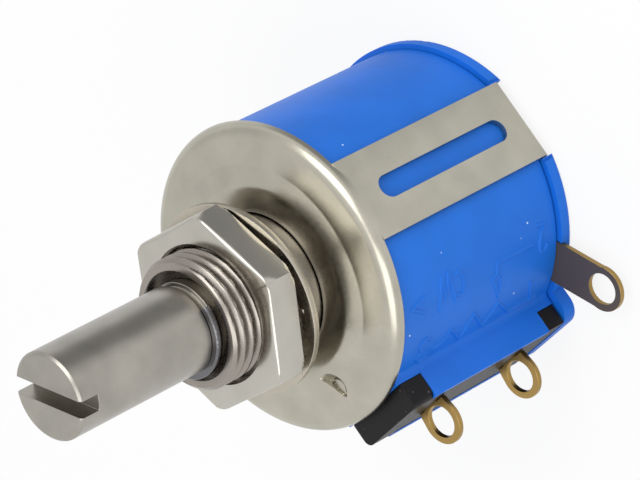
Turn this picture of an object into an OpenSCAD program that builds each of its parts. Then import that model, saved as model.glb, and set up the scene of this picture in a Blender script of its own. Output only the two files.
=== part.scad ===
// Multi-turn wirewound rotary potentiometer, panel mounting.
// +Z runs up the shaft. The origin is on the shaft's axis, on the face that seats against the panel.

/* [Shaft] */
// Diameter of the shaft
shaft_d = 6.34; // [6:0.01:6.35]
// Distance from the mounting face to the tip of the shaft
shaft_reach = 20.62; // [16:0.1:30]
// Bevel round the tip of the shaft
shaft_bevel = 0.2; // [0.1:0.05:0.4]
// Width of the screwdriver slot
driver_slot_w = 1.19; // [1:0.01:1.4]
// Depth of the screwdriver slot
driver_slot_depth = 1.57; // [1.2:0.01:1.8]
// Angle of the screwdriver slot from the X axis
driver_slot_angle = 134; // [0:1:180]
// Step down from the shaft to the seat of the rotor
rotor_seat_step = 0.77; // [0.6:0.01:0.9]
// Depth of the flat on the rotor's seat
rotor_seat_flat = 0.5; // [0.3:0.05:0.7]
// Diameter of the rear pivot
pivot_d = 3; // [2.6:0.1:3.2]
// Length of the rear pivot
pivot_len = 0.8; // [0.6:0.05:0.85]

/* [Retaining ring] */
// Depth of the ring's groove in the shaft
ring_groove_depth = 0.32; // [0.2:0.01:0.4]
// Width of the ring from its bore to its outer edge
ring_w = 0.78; // [0.6:0.01:0.85]
// Thickness of the ring along the shaft
ring_t = 0.6; // [0.5:0.05:0.7]
// Distance from the bushing's front to the ring
ring_stand = 0.06; // [0.04:0.01:0.2]
// Angle of the gap between the ring's ends
ring_gap_angle = 105; // [80:5:120]
// Direction of the middle of the gap
ring_gap_dir = 50; // [0:5:355]

/* [Bushing] */
// Outside diameter of the thread
thread_d = 9.52; // [9.4:0.01:9.6]
// Length of the bushing in front of the mounting face
bushing_len = 7.92; // [6.5:0.01:9.6]
// Bevel at the front of the thread
thread_bevel = 0.3; // [0.2:0.05:0.5]
// Width of the flat rim at the bushing's front
bushing_rim = 0.51; // [0.3:0.01:0.7]
// Step up from the thread to the plain collar against the plate
collar_step = 0.39; // [0.3:0.01:0.5]
// Height of the collar
collar_h = 1.2; // [0.8:0.05:1.5]
// Depth to which the collar is pressed into the plate
collar_sink = 0.04; // [0.02:0.01:0.08]
// Step down from the thread to the neck staked through the plate
neck_step = 0.36; // [0.3:0.01:0.5]
// Width of the staked flange behind the plate
stake_w = 1.2; // [0.9:0.05:1.4]
// Thickness of the staked flange
stake_t = 0.5; // [0.4:0.05:0.6]

/* [Mounting nut] */
// Width of the nut across its flats
nut_af = 12.7; // [12:0.1:13]
// Thickness of the nut
nut_t = 2.38; // [2:0.01:2.6]
// Distance from the mounting face to the nut's back
nut_z = 3.43; // [3.43:0.01:4.6]
// Direction of one of the nut's flats
nut_dir = 18.7; // [0:0.1:60]
// Width of the bevel between the nut's front face and its flats
nut_bevel = 0.1; // [0.05:0.05:0.5]
// Bevel round the back of the nut
nut_back_bevel = 0.2; // [0.1:0.05:0.3]
// Countersink at each end of the nut's bore
nut_countersink = 0.3; // [0.1:0.05:0.4]

/* [Lock washer] */
// Width of the washer from the tips of its teeth to its edge
washer_w = 2.05; // [1.9:0.05:2.3]
// Width of the washer's closed rim
washer_rim_w = 1.1; // [0.9:0.05:1.3]
// Thickness of the washer
washer_t = 0.5; // [0.4:0.05:0.55]
// Play between the thread and the teeth
tooth_play = 0.19; // [0.14:0.01:0.3]
// Width of each tooth
tooth_w = 1.2; // [0.8:0.1:1.4]
// Number of teeth
washer_teeth = 10; // [8:1:12]
// Twist of each tooth
washer_twist = 14; // [8:1:16]
// Lean of the loose washer on the bushing
washer_lean = 3.4; // [0:0.1:3.6]
// Direction towards which the washer leans up
washer_lean_dir = 85; // [0:5:355]

/* [Front plate] */
// Thickness of the sheet
plate_t = 0.5; // [0.4:0.05:0.55]
// Overhang of the rolled rim past the housing
rim_over = 0.41; // [0.35:0.01:0.5]
// Radius of the rolled edge
rim_round = 1.05; // [0.8:0.05:1.2]
// Distance from the mounting face to the edge of the rim
rim_depth = 1.5; // [1.4:0.05:1.8]
// Distance from the rim to the edge of the raised mounting face
seat_margin = 2.74; // [2.4:0.02:3]
// Height of the mounting face above the plate round it
seat_step = 0.12; // [0.06:0.02:0.16]
// Length of the cut along the half-sheared dimple
dimple_len = 2.3; // [2:0.1:2.5]
// Depth of the dimple at its cut
dimple_depth = 0.45; // [0.3:0.05:0.45]
// Distance from the edge of the mounting face to the middle of the cut
dimple_edge = 0.17; // [0:0.01:0.4]
// Direction from the axis to the dimple
dimple_dir = -95; // [-110:1:-80]
// Angle of the cut from the radius
dimple_lean = 23; // [0:1:30]

/* [Straps] */
// Width of each strap
strap_w = 6.2; // [5.6:0.1:6.4]
// Thickness of each strap
strap_t = 0.45; // [0.35:0.05:0.5]
// Height of the strap's face above the round of the housing
strap_over = 0.07; // [0.02:0.01:0.1]
// Width of the slot in a strap
strap_slot_w = 1.7; // [1.4:0.1:2]
// Distance from the mounting face to the front end of the slot
strap_slot_front = 3.7; // [3:0.1:5]
// Distance from the rear face to the rear end of the slot
strap_slot_back = 2.65; // [2.4:0.05:5]
// Length of the taper from the rim to the strap
strap_flare = 0.7; // [0.4:0.05:1]
// Length of the tab that is folded over the cap
tab_len = 3.2; // [2.4:0.1:3.6]
// Depth of the folded tab under the rear face of the cap
tab_sink = 0.5; // [0.4:0.05:0.6]

/* [Housing] */
// Diameter of the housing
body_d = 21.86; // [21.6:0.02:22]
// Distance from the mounting face to the rear face
body_len = 19.05; // [18.8:0.05:20]
// Thickness of the housing's wall
body_wall = 2.43; // [2.3:0.01:2.6]
// Width of the terminal boss
boss_w = 6.6; // [6.2:0.1:7]
// Height of the boss above the round of the housing
boss_reach = 1.97; // [1.8:0.01:2.4]
// Wall on each side of the terminal block
boss_wall = 0.5; // [0.4:0.05:0.6]
// Distance from the edge of the rim to the front of the boss
boss_stand = 0.15; // [0.1:0.05:0.4]

/* [Rear cap] */
// Thickness of the cap
cap_t = 1.27; // [1.2:0.01:1.4]
// Overhang of the cap past the housing
cap_over = 0.37; // [0.2:0.01:0.45]
// Radius of the cap's rear edge
cap_round = 0.4; // [0.2:0.05:0.5]
// Width of the groove between the housing and the cap
groove_w = 0.14; // [0.1:0.01:0.3]
// Depth of that groove
groove_depth = 0.4; // [0.2:0.05:0.6]
// Overhang of the lobe past each side of the boss
lobe_over = 0.5; // [0.2:0.05:0.7]
// Radius of the lobe's corners
lobe_round = 1.3; // [0.8:0.1:1.6]
// Width of the flat rim round the dish in the rear face
dish_margin = 5.3; // [4.8:0.1:6]
// Depth of the dish
dish_depth = 0.15; // [0.1:0.05:0.25]

/* [Terminal block] */
// Height of the block between the housing and the boss's face
block_h = 1.6; // [1.4:0.05:1.7]
// Distance from the front of the boss to the front of the block
block_stand = 0.35; // [0.2:0.05:0.5]
// Length of the full-width head at the front
block_head_len = 2.05; // [1.6:0.05:2.4]
// Height of the head
block_head_h = 1.9; // [1.7:0.05:1.95]
// Length of the full-width foot at the rear
block_foot_len = 1.6; // [1.2:0.05:1.8]
// Radius of the head's outer edges
block_round = 0.6; // [0.3:0.05:0.9]
// Depth of the block's face below the boss's walls
block_sink = 0.05; // [0.03:0.01:0.2]

/* [Terminals] */
// Thickness of the terminals
term_t = 0.4; // [0.3:0.05:0.45]
// Width of the metal round the hole of an eye
eye_w = 0.53; // [0.45:0.01:0.7]
// Radius of the eye's hole
eye_hole_r = 1.17; // [1:0.01:1.2]
// Distance from the boss to the eyes of terminals 1 and 3
eye_reach = 1.3; // [1.2:0.05:2.2]
// Width of terminals 1 and 3 where they leave the block
term_root_w = 3; // [2.6:0.1:3.2]
// Width of their tails in the block
term_tail_w = 1.6; // [1.2:0.1:1.8]
// Distance from the mounting face to terminal 3
term_3_front = 6.15; // [5.2:0.05:7.5]
// Distance from the rear face to terminal 1
term_1_back = 4.55; // [4.3:0.05:7]
// Distance from the round of the housing to the eye of terminal 2
eye_2_reach = 4.27; // [4:0.01:5]
// Width of terminal 2
term_2_w = 3.3; // [3:0.1:3.4]
// Direction of terminal 2
term_2_dir = -57.3; // [-60:0.1:-54]
// Length of terminal 2 inside the bore of the housing
term_2_inside = 1.5; // [1.3:0.1:1.7]

/* [Resistance coil] */
// Turns in the coil, with half a turn to spare at each end
coil_turns = 11; // [7:2:11]
// Distance from the mounting face to the front end of the coil
coil_front = 2.9; // [2.8:0.05:3.2]
// Distance from the rear face to the rear end of the coil
coil_back = 2.95; // [2.85:0.05:3.2]
// Radius of the wound mandrel
mandrel_r = 0.32; // [0.28:0.01:0.33]
// Distance from the wall of the bore inwards to the middle of the mandrel
coil_bed = 0.15; // [0.13:0.01:0.17]

/* [Rotor] */
// Gap between the rotor's flanges and the bore
flange_gap = 0.9; // [0.7:0.05:1]
// Thickness of the end flanges
flange_t = 0.8; // [0.7:0.05:0.85]
// Height of the guide rail above the hub
rail_h = 1.3; // [1.2:0.05:1.4]
// Width of the guide rail's head
rail_w = 2.4; // [2.2:0.1:2.6]
// Height of the rail's head
rail_head_h = 0.7; // [0.6:0.05:0.75]
// Width of the guide rail's neck
rail_neck_w = 1.6; // [1.4:0.1:1.8]
// Thickness of the thrust washer
thrust_t = 0.3; // [0.2:0.05:0.35]
// Width of the thrust washer
thrust_w = 1.9; // [1.6:0.1:2.2]

/* [Wiper] */
// Length of the carriage along the rail
carriage_len = 1.9; // [1.7:0.05:2]
// Width of the carriage over the rail
carriage_w = 4.4; // [4:0.1:4.6]
// Thickness of the carriage over the rail
carriage_roof = 0.75; // [0.6:0.05:0.9]
// Thickness of the fork's prongs
prong_t = 0.22; // [0.18:0.01:0.24]
// Width of the fork's prongs
prong_w = 1.6; // [1.2:0.1:1.8]
// Reach of the prongs past the middle of the mandrel
prong_over = 0.03; // [-0.05:0.01:0.05]
// Height of the contact's arch above the carriage
arch_h = 1.4; // [1.2:0.05:1.5]
// Radius of the contact's arch
arch_r = 1.9; // [1.8:0.05:2]
// Thickness of the contact spring
contact_t = 0.12; // [0.1:0.01:0.15]
// Width of the contact spring
contact_w = 0.4; // [0.3:0.05:0.5]

/* [Collector] */
// Radius of the collector rod
rod_r = 0.4; // [0.35:0.01:0.42]
// Sideways place of the rod
rod_x = 3; // [2.9:0.05:3.1]
// Distance from the top of the rail down to the rod's middle
rod_drop = 0.2; // [0.18:0.01:0.25]
// Distance from the flange's edge to the slip ring
slip_margin = 0.4; // [0.3:0.05:0.5]
// Width of the slip ring
slip_w = 1.8; // [1.5:0.1:2]
// Thickness of the slip ring
slip_t = 0.2; // [0.15:0.01:0.25]
// Width of the brush
brush_w = 1.6; // [1.2:0.1:2]

/* [Clearances] */
// Radial running clearance of the shaft and its pivot
run_gap = 0.03; // [0.02:0.01:0.05]
// Gap between pieces that are seated on each other
seat_gap = 0.02; // [0.01:0.01:0.04]
// Gap between the carriage and its rail
slide_gap = 0.05; // [0.04:0.01:0.07]
// Radial clearance of the nut on the thread
nut_gap = 0.04; // [0.03:0.01:0.06]
// Gap between an unloaded contact and what it will press on
spring_gap = 0.03; // [0.02:0.01:0.05]

/* [Hidden] */

$fn = 72;
// Overlap of a cutting shape past the face that it cuts
cut = 0.5;

// Radii on the shaft and the bushing
shaft_r = shaft_d / 2;
rotor_seat_r = shaft_r - rotor_seat_step;
ring_groove_r = shaft_r - ring_groove_depth;
thread_r = thread_d / 2;
neck_r = thread_r - neck_step;
collar_r = thread_r + collar_step;

// Radii and widths of the housing and what surrounds it
body_r = body_d / 2;
bore_r = body_r - body_wall;
rim_r = body_r + rim_over;
seat_face_r = rim_r - seat_margin;
strap_x = body_r + strap_over;
flat_x = strap_x - strap_t - 0.05;
cap_r = body_r + cap_over;
boss_y = body_r + boss_reach;
// inner face of the terminal block
block_in_y = boss_y - block_h;
eye_r = eye_hole_r + eye_w;
eye_y = boss_y + eye_reach;

// Radii inside the bore, from the coil inwards
coil_path_r = bore_r - coil_bed;
contact_top = coil_path_r - mandrel_r - spring_gap;
carriage_top = contact_top - arch_h;
rail_top = carriage_top - carriage_roof - slide_gap;
hub_r = rail_top - rail_h;
carriage_foot = hub_r + slide_gap;
rod_y = rail_top - rod_drop;
flange_r = bore_r - flange_gap;
slip_out_r = flange_r - slip_margin;
slip_in_r = slip_out_r - slip_w;
// radius of the groove that holds the coil in the housing's wall
coil_groove_r = mandrel_r + 2 * seat_gap;

// Levels behind the mounting face, all negative
web_z = -seat_step;
web_back_z = web_z - plate_t;
stake_back_z = -plate_t - stake_t;
rotor_front_z = stake_back_z - thrust_t - 2 * seat_gap;
rear_z = -body_len;
cap_face_z = rear_z + cap_t;
housing_front_z = web_back_z - seat_gap;
housing_back_z = cap_face_z + seat_gap;
spigot_z = -rim_depth - seat_gap;
rotor_back_z = cap_face_z + 0.28;
tab_back_z = rear_z + tab_sink;
tab_front_z = tab_back_z + strap_t;
boss_front_z = -rim_depth - boss_stand;
block_front_z = boss_front_z - block_stand;
block_back_z = cap_face_z + 4 * seat_gap;
ring_z = bushing_len + ring_stand;
term_1_z = rear_z + term_1_back;
term_3_z = -term_3_front;
// terminal 2 lies in a pocket in the cap's front face
term_2_z = cap_face_z - term_t - 2 * seat_gap;

// Ends, pitch and middle of the coil
coil_front_z = -coil_front;
coil_back_z = rear_z + coil_back;
coil_pitch = (coil_front_z - coil_back_z) / coil_turns;
coil_z = (coil_front_z + coil_back_z) / 2;

// Strips between the coil and the terminals
lead_y = block_in_y - 0.7;
lead_t = 0.15;
lead_w = 0.8;

// Flat ring lying from z up
module disc_ring(outer_r, inner_r, z, t) {
    translate([0, 0, z]) difference() {
        cylinder(r = outer_r, h = t);
        translate([0, 0, -cut]) cylinder(r = inner_r, h = t + 2 * cut);
    }
}

// Box centred on X, from y0 to y1 and from z0 to z1
module slab(w, y0, y1, z0, z1) {
    translate([-w / 2, y0, z0]) cube([w, y1 - y0, z1 - z0]);
}

// Wide slab with its corners at the low-Y side rounded, extruded from z0 to z1
module rounded_slab(w, y0, y1, r, z0, z1) {
    translate([0, 0, z0]) linear_extrude(z1 - z0) union() {
        translate([-w / 2, y0 + r]) square([w, y1 - y0 - r]);
        translate([-w / 2 + r, y0]) square([w - 2 * r, r + 0.01]);
        for (s = [-1, 1]) translate([s * (w / 2 - r), y0 + r]) circle(r = r);
    }
}

module shaft() {
    seat_front_z = rotor_front_z + seat_gap;
    color([0.66, 0.64, 0.60]) union() {
        difference() {
            rotate_extrude() difference() {
                polygon([[0, seat_front_z], [shaft_r, seat_front_z], [shaft_r, shaft_reach - shaft_bevel],
                         [shaft_r - shaft_bevel, shaft_reach], [0, shaft_reach]]);
                // groove of the retaining ring
                translate([ring_groove_r, ring_z - seat_gap]) square([2, ring_t + 2 * seat_gap]);
            }
            rotate([0, 0, driver_slot_angle])
                translate([-shaft_d, -driver_slot_w / 2, shaft_reach - driver_slot_depth])
                    cube([2 * shaft_d, driver_slot_w, driver_slot_depth + cut]);
        }
        // flatted seat of the rotor
        intersection() {
            translate([0, 0, rotor_back_z]) cylinder(r = rotor_seat_r, h = seat_front_z - rotor_back_z + 0.1);
            translate([-shaft_d, -shaft_d, rotor_back_z])
                cube([2 * shaft_d, shaft_d + rotor_seat_r - rotor_seat_flat, body_len]);
        }
        translate([0, 0, rotor_back_z - pivot_len]) cylinder(d = pivot_d, h = pivot_len + 0.1);
    }
}

module retaining_ring() {
    // the ring's arc starts where the gap ends
    color([0.20, 0.20, 0.21]) translate([0, 0, ring_z])
        rotate_extrude(angle = 360 - ring_gap_angle, start = ring_gap_dir + ring_gap_angle / 2) {
            corner = ring_t / 4;
            translate([ring_groove_r + seat_gap, 0]) {
                square([ring_w - corner, ring_t]);
                translate([0, corner]) square([ring_w, ring_t - 2 * corner]);
                for (z = [corner, ring_t - corner]) translate([ring_w - corner, z]) circle(r = corner, $fn = 24);
            }
        }
}

module bushing() {
    hole_r = shaft_r + run_gap;
    face_r = thread_r - thread_bevel;
    mouth_r = face_r - bushing_rim;
    color([0.72, 0.69, 0.64]) rotate_extrude() polygon([
        [hole_r, stake_back_z], [neck_r + stake_w, stake_back_z], [neck_r + stake_w, -plate_t],
        [neck_r, -plate_t], [neck_r, -collar_sink], [collar_r, -collar_sink], [collar_r, collar_h],
        [thread_r, collar_h],
        [thread_r, bushing_len - thread_bevel], [face_r, bushing_len], [mouth_r, bushing_len],
        [hole_r, bushing_len - (mouth_r - hole_r)]]);
}

module mounting_nut() {
    nut_bore_r = thread_r + nut_gap;
    flat_r = nut_af / 2;
    corner_r = nut_af / sqrt(3);
    // slope of the bevel from the front face, and of the small one at the back
    front_r = flat_r - nut_bevel;
    back_r = corner_r - 0.53 - nut_back_bevel;
    color([0.76, 0.74, 0.70]) translate([0, 0, nut_z]) difference() {
        intersection() {
            rotate([0, 0, nut_dir - 30]) cylinder(r = corner_r, h = nut_t, $fn = 6);
            rotate_extrude() polygon([
                [0, 0], [back_r, 0], [back_r + nut_t, nut_t / 2], [front_r + nut_t / 2, nut_t / 2],
                [front_r, nut_t], [0, nut_t]]);
        }
        translate([0, 0, -cut]) cylinder(r = nut_bore_r, h = nut_t + 2 * cut);
        for (m = [0, 1]) translate([0, 0, m * nut_t]) mirror([0, 0, m]) translate([0, 0, -0.01])
            cylinder(r1 = nut_bore_r + nut_countersink, r2 = nut_bore_r, h = nut_countersink);
    }
}

module lock_washer() {
    tooth_in = thread_r + tooth_play;
    outer_r = tooth_in + washer_w;
    inner_r = outer_r - washer_rim_w;
    tooth_t = washer_t * 0.8;
    // the leaning washer touches the back of the nut with its highest point
    mid_z = nut_z - seat_gap - washer_t / 2 - outer_r * sin(washer_lean);
    color([0.70, 0.67, 0.62]) translate([0, 0, mid_z])
        rotate([0, 0, washer_lean_dir]) rotate([0, -washer_lean, 0]) union() {
            disc_ring(outer_r, inner_r, -washer_t / 2, washer_t);
            for (i = [0:washer_teeth - 1]) rotate([0, 0, (i + 0.5) * 360 / washer_teeth])
                rotate([washer_twist, 0, 0]) translate([tooth_in, -tooth_w / 2, -tooth_t / 2])
                    cube([inner_r + 0.3 - tooth_in, tooth_w, tooth_t]);
        }
}

// Section of the pressed plate: raised mounting face, web, rolled edge and short skirt
module plate_section() {
    bend_r = rim_r - rim_round;
    bend_z = web_z - rim_round;
    translate([0, -plate_t]) square([seat_face_r, plate_t]);
    translate([seat_face_r - plate_t / 2, web_back_z]) square([bend_r - seat_face_r + plate_t / 2, plate_t]);
    translate([rim_r - plate_t, -rim_depth]) square([plate_t, rim_depth + bend_z]);
    intersection() {
        translate([bend_r, bend_z]) difference() {
            circle(r = rim_round);
            circle(r = rim_round - plate_t);
        }
        translate([bend_r, bend_z]) square(2 * rim_round);
    }
}

// One strap on the +X side, folded inwards over the cap, with its rounded slot
module strap() {
    fold_r = strap_t + 0.05;
    flare_z = -rim_depth - strap_flare;
    // centres of the round ends of the slot
    slot_front_z = -strap_slot_front - strap_slot_w / 2;
    slot_back_z = rear_z + strap_slot_back + strap_slot_w / 2;
    difference() {
        union() {
            rotate([90, 0, 0]) linear_extrude(strap_w, center = true) union() {
                translate([strap_x - strap_t, tab_back_z + fold_r])
                    square([strap_t, -rim_depth - tab_back_z - fold_r + 0.3]);
                translate([strap_x - tab_len, tab_back_z]) square([tab_len - fold_r, strap_t]);
                intersection() {
                    translate([strap_x - fold_r, tab_back_z + fold_r]) difference() {
                        circle(r = fold_r, $fn = 32);
                        circle(r = fold_r - strap_t, $fn = 16);
                    }
                    translate([strap_x - fold_r, tab_back_z]) square(fold_r);
                }
            }
            // the rim tapers into the strap
            intersection() {
                rotate_extrude() polygon([
                    [strap_x - strap_t, flare_z], [strap_x, flare_z], [rim_r, -rim_depth],
                    [rim_r, -rim_depth + 0.1], [strap_x - strap_t, -rim_depth + 0.1]]);
                translate([strap_x - strap_t, -strap_w / 2, flare_z - 1]) cube([3, strap_w, 3]);
            }
        }
        for (z = [slot_front_z, slot_back_z])
            translate([strap_x - 1, 0, z]) rotate([0, 90, 0]) cylinder(d = strap_slot_w, h = 2);
        translate([strap_x - 1, -strap_slot_w / 2, slot_back_z]) cube([2, strap_slot_w, slot_front_z - slot_back_z]);
    }
}

// Places what is drawn along +X on the lug, which stands towards -Y
// Half of a ball on the sunk side of the dimple's cut, larger by grow, up to a height; gap moves the cut's side
module dimple_half(grow, top, gap = 0) {
    // radius of the ball that is as deep as the dimple and as wide as its cut
    ball_r = (dimple_len * dimple_len / 4 + dimple_depth * dimple_depth) / (2 * dimple_depth);
    rotate([0, 0, dimple_dir]) translate([seat_face_r - dimple_edge, 0, 0]) rotate([0, 0, dimple_lean])
        intersection() {
            translate([0, 0, ball_r - dimple_depth]) sphere(r = ball_r + grow);
            translate([-4, -gap, -2]) cube([8, 4, 2 + top]);
        }
}

module front_plate() {
    color([0.72, 0.70, 0.65]) difference() {
        union() {
            rotate_extrude() plate_section();
            for (a = [0, 180]) rotate([0, 0, a]) strap();
            // back of the half-sheared dimple
            dimple_half(plate_t, -plate_t / 2);
        }
        translate([0, 0, -2]) cylinder(r = neck_r + seat_gap, h = 4);
        translate([0, 0, -collar_sink]) cylinder(r = collar_r + seat_gap, h = 4);
        dimple_half(0, 0.5);
    }
}

// The coil is a chain of half rings, each tilted so that its ends lie half a pitch apart
module coil_path(section_r) {
    tilt = atan(coil_pitch / 4 / coil_path_r);
    for (k = [0:2 * coil_turns - 1]) {
        side = k % 2 == 0 ? -1 : 1;
        translate([0, 0, coil_back_z + (k + 0.5) * coil_pitch / 2]) rotate([-side * tilt, 0, 0])
            rotate_extrude(angle = 180, start = -side * 90)
                translate([coil_path_r / cos(tilt), 0]) circle(r = section_r, $fn = 24);
    }
}

module resistance_coil() {
    color([0.72, 0.45, 0.20]) union() coil_path(mandrel_r);
}

// Passage in the housing's wall for the strip from one end of the coil to its terminal
module lead_passage(z0, z1) {
    slab(term_tail_w + 4 * seat_gap, -block_in_y, -bore_r + 0.3, z0, z1);
}

module housing() {
    spigot_r = rim_r - plate_t - 2 * seat_gap;
    // the spigot's edge clears the inside of the rolled rim
    spigot_bevel = rim_round - plate_t + 0.05;
    pocket_w = boss_w - 2 * boss_wall;
    color([0.16, 0.44, 0.86]) difference() {
        union() {
            rotate_extrude() polygon([
                [0, housing_back_z], [body_r, housing_back_z], [body_r, spigot_z], [spigot_r, spigot_z],
                [spigot_r, housing_front_z - spigot_bevel], [spigot_r - spigot_bevel, housing_front_z],
                [0, housing_front_z]]);
            slab(boss_w, -boss_y, -bore_r, housing_back_z, boss_front_z);
        }
        translate([0, 0, rear_z]) cylinder(r = bore_r, h = body_len + cut);
        // flats under the straps
        for (s = [0, 1]) mirror([s, 0, 0]) translate([flat_x, -strap_w, rear_z]) cube([2, 2 * strap_w, body_len]);
        // open seat of the terminal block, with wider notches for its head and foot
        slab(pocket_w, -boss_y - cut, -block_in_y + seat_gap, rear_z, boss_front_z + cut);
        slab(boss_w + 1, -boss_y - cut, -boss_y + block_head_h + seat_gap,
             block_front_z - block_head_len - seat_gap, boss_front_z + cut);
        slab(boss_w + 1, -boss_y - cut, -block_in_y + seat_gap, rear_z, block_back_z + block_foot_len + seat_gap);
        coil_path(coil_groove_r);
        lead_passage(term_3_z - term_t, coil_front_z + coil_groove_r);
        lead_passage(coil_back_z - coil_groove_r, term_1_z + term_t);
        // notch for the plate's dimple, which keeps the plate from turning
        dimple_half(plate_t + seat_gap, 0, seat_gap);
    }
}

module rear_cap() {
    waist_r = body_r - groove_depth;
    waist_back_z = cap_face_z - groove_w;
    recess_w = strap_w + 0.1;
    shoulder = 0.45;
    lid_spigot_r = bore_r - 2 * seat_gap;
    color([0.16, 0.44, 0.86]) difference() {
        union() {
            rotate_extrude() union() {
                translate([0, waist_back_z]) square([waist_r, groove_w]);
                translate([0, rear_z]) square([cap_r - cap_round, cap_t - groove_w]);
                translate([0, rear_z + cap_round]) square([cap_r, cap_t - groove_w - cap_round]);
                translate([cap_r - cap_round, rear_z + cap_round]) circle(r = cap_round);
            }
            rounded_slab(boss_w + 2 * lobe_over, -boss_y, -bore_r, lobe_round, rear_z, waist_back_z);
            disc_ring(lid_spigot_r, lid_spigot_r - 0.4, cap_face_z - 0.1, 0.6);
        }
        // recesses for the folded tabs, with bevelled shoulders
        for (s = [0, 1]) mirror([s, 0, 0]) {
            translate([flat_x, -recess_w / 2, rear_z - cut]) cube([3, recess_w, cap_t + 2 * cut]);
            translate([strap_x - tab_len - 0.1, -recess_w / 2, rear_z - cut])
                cube([tab_len + 1, recess_w, tab_front_z + seat_gap - rear_z + cut]);
            for (m = [0, 1]) mirror([0, m, 0]) translate([flat_x + 0.25, recess_w / 2, rear_z - cut])
                rotate([0, 0, 45]) translate([0, -shoulder / 2, 0]) cube([2, shoulder, cap_t + 2 * cut]);
        }
        // seat of the rotor's pivot
        translate([0, 0, rotor_back_z - pivot_len - 0.05]) cylinder(r = pivot_d / 2 + run_gap, h = cap_t + 1);
        // shallow dish in the rear face
        translate([0, 0, rear_z - cut]) cylinder(r = cap_r - dish_margin, h = cut + dish_depth);
        // pocket of terminal 2
        rotate([0, 0, term_2_dir])
            translate([bore_r - term_2_inside - seat_gap, -term_2_w / 2 - seat_gap, term_2_z - seat_gap])
            cube([cap_r, term_2_w + 2 * seat_gap, term_t + 0.1]);
    }
}

module terminal_block() {
    body_w = boss_w - 2 * boss_wall - 2 * seat_gap;
    face_y = boss_y - block_sink;
    color([0.13, 0.12, 0.12]) difference() {
        union() {
            slab(body_w, -face_y, -block_in_y, block_back_z, block_front_z);
            rounded_slab(boss_w, -boss_y, -boss_y + block_head_h, block_round,
                         block_front_z - block_head_len, block_front_z);
            slab(boss_w, -face_y, -block_in_y, block_back_z, block_back_z + block_foot_len);
        }
        for (z = [term_1_z, term_3_z])
            slab(term_tail_w + 2 * seat_gap, -boss_y - cut, -block_in_y + cut,
                 z - term_t / 2 - seat_gap, z + term_t / 2 + seat_gap);
    }
}

// Flat ring terminal in the XY plane, eye towards -Y, with a narrow tail through the block
module side_terminal(z) {
    shoulder_y = boss_y - block_sink + seat_gap;
    translate([0, 0, z - term_t / 2]) linear_extrude(term_t) difference() {
        union() {
            intersection() {
                translate([0, -eye_y]) circle(r = eye_r);
                translate([-eye_r, -eye_y - eye_r]) square([2 * eye_r, eye_y + eye_r - shoulder_y]);
            }
            polygon([[-eye_r + 0.03, -eye_y + 0.3], [eye_r - 0.03, -eye_y + 0.3],
                     [term_root_w / 2, -shoulder_y], [-term_root_w / 2, -shoulder_y]]);
            translate([-term_tail_w / 2, -shoulder_y - 0.2]) square([term_tail_w, shoulder_y + 0.2 - lead_y - lead_t]);
        }
        translate([0, -eye_y]) circle(r = eye_hole_r);
    }
}

module terminal_1() {
    color([0.78, 0.62, 0.32]) side_terminal(term_1_z);
}

module terminal_3() {
    color([0.78, 0.62, 0.32]) side_terminal(term_3_z);
}

module terminal_2() {
    eye_2_r = body_r + eye_2_reach;
    inner_r = bore_r - term_2_inside;
    color([0.78, 0.62, 0.32]) rotate([0, 0, term_2_dir]) translate([0, 0, term_2_z])
        linear_extrude(term_t) difference() {
            union() {
                translate([inner_r, -term_2_w / 2]) square([eye_2_r - inner_r, term_2_w]);
                translate([eye_2_r, 0]) circle(r = eye_r);
            }
            translate([eye_2_r, 0]) circle(r = eye_hole_r);
        }
}

// Strip from the coil's end at z0 out through the wall and along to the terminal at z1
module coil_lead(z0, z1) {
    reach_in = coil_path_r + mandrel_r + seat_gap;
    low = min(z0, z1);
    high = max(z0, z1);
    union() {
        slab(lead_w, -lead_y, -reach_in, z0 - lead_t / 2, z0 + lead_t / 2);
        slab(lead_w, -lead_y - lead_t, -lead_y, low - lead_t / 2, high + lead_t / 2);
    }
}

module coil_lead_1() {
    color([0.80, 0.66, 0.38]) coil_lead(coil_back_z, term_1_z + term_t / 2);
}

module coil_lead_3() {
    color([0.80, 0.66, 0.38]) coil_lead(coil_front_z, term_3_z - term_t / 2);
}

module rotor() {
    recess_z = rotor_back_z + slip_t + seat_gap;
    color([0.88, 0.86, 0.80]) difference() {
        union() {
            translate([0, 0, rotor_back_z]) cylinder(r = hub_r, h = rotor_front_z - rotor_back_z);
            for (z = [rotor_back_z, rotor_front_z - flange_t]) translate([0, 0, z]) cylinder(r = flange_r, h = flange_t);
            // rail with an overhanging head
            slab(rail_neck_w, hub_r - 0.5, rail_top - rail_head_h + 0.01, rotor_back_z, rotor_front_z);
            slab(rail_w, rail_top - rail_head_h, rail_top, rotor_back_z, rotor_front_z);
        }
        // flatted bore for the shaft's seat
        intersection() {
            translate([0, 0, rotor_back_z - cut]) cylinder(r = rotor_seat_r + seat_gap / 2, h = body_len);
            translate([-shaft_d, -shaft_d, rotor_back_z - cut])
                cube([2 * shaft_d, shaft_d + rotor_seat_r - rotor_seat_flat + seat_gap / 2, body_len]);
        }
        // holes of the collector rod and recess of the slip ring
        translate([rod_x, rod_y, rotor_back_z - cut])
            cylinder(r = rod_r + seat_gap / 2, h = rotor_front_z - 0.3 - rotor_back_z + cut, $fn = 32);
        disc_ring(slip_out_r + seat_gap, slip_in_r - seat_gap, rotor_back_z - cut, recess_z - rotor_back_z + cut);
    }
}

module thrust_washer() {
    inner_r = shaft_r + 4 * run_gap;
    color([0.80, 0.78, 0.72]) disc_ring(inner_r + thrust_w, inner_r, stake_back_z - thrust_t, thrust_t);
}

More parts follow.
